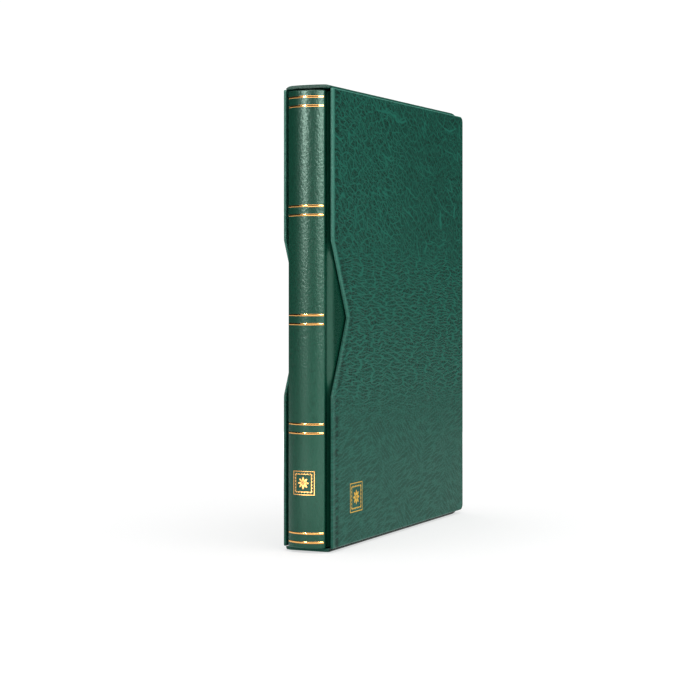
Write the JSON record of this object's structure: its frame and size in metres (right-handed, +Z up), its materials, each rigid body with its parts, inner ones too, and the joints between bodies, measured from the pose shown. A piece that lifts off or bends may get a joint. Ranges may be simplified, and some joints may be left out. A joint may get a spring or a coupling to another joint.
{
  "type": "stamp album",
  "caption": "Stamp stockbook with padded leatherette covers and a gilded round spine, in an open-fronted slipcase with finger notches.",
  "frame": {"origin": "middle of the bounding box at its underside: half-way across the case, half-way from the spine's crown to the case's back, on the surface the case stands on", "axes": "+Z up along the album's height, +X across the thickness towards the side panel with the foil emblem, -Y out of the case's open front, where the spine faces"},
  "size_m": [0.037, 0.2476, 0.312],
  "materials": {
    "greyboard": "raw pressed board",
    "case_leatherette": "dark green leatherette, coarse wrinkled grain, satin",
    "case_leatherette_edge": "dark green leatherette, fine grain, satin",
    "case_lining": "dark green lining paper, matt",
    "album_leatherette": "dark green leatherette, fine grain, satin",
    "gold_foil": "hot-stamped gold foil, bright",
    "foam": "soft foam padding",
    "endpaper": "black endpaper, matt",
    "mull": "open-weave cotton gauze with glue",
    "band_cotton": "woven cotton with a coloured bead",
    "black_card": "black card, matt",
    "guard_linen": "black linen strip",
    "clear_film": "clear film, glossy",
    "glassine": "translucent glassine"
  },
  "bodies": {
    "slipcase": {"case_frame_board": "greyboard", "case_frame_cover": "case_leatherette_edge", "case_frame_lining": "case_lining", "case_side_board_left": "greyboard", "case_side_board_right": "greyboard", "case_side_cover_left": "case_leatherette", "case_side_cover_right": "case_leatherette", "case_side_lining_left": "case_lining", "case_side_lining_right": "case_lining", "case_emblem": "gold_foil"},
    "album": {"front_board": "greyboard", "back_board": "greyboard", "front_padding": "foam", "back_padding": "foam", "front_endpaper": "endpaper", "back_endpaper": "endpaper", "spine_board": "greyboard", "spine_lining": "mull", "headband": "band_cotton", "tailband": "band_cotton", "album_cover": "album_leatherette", "spine_gold_lines": "gold_foil", "spine_emblem": "gold_foil", "leaf_01": "black_card", "leaf_02": "black_card", "leaf_03": "black_card", "leaf_04": "black_card", "leaf_05": "black_card", "leaf_06": "black_card", "leaf_07": "black_card", "leaf_08": "black_card", "leaf_09": "black_card", "leaf_10": "black_card", "leaf_11": "black_card", "leaf_12": "black_card", "leaf_13": "black_card", "leaf_14": "black_card", "leaf_15": "black_card", "leaf_16": "black_card", "leaf_guards": "guard_linen", "pocket_strips": "clear_film", "interleaves": "glassine"}
  },
  "joints": [
    {"name": "album_slide", "type": "slide", "parent": "slipcase", "child": "album", "axis": [0, -1, 0], "range_m": [0, 0.25]}
  ]
}
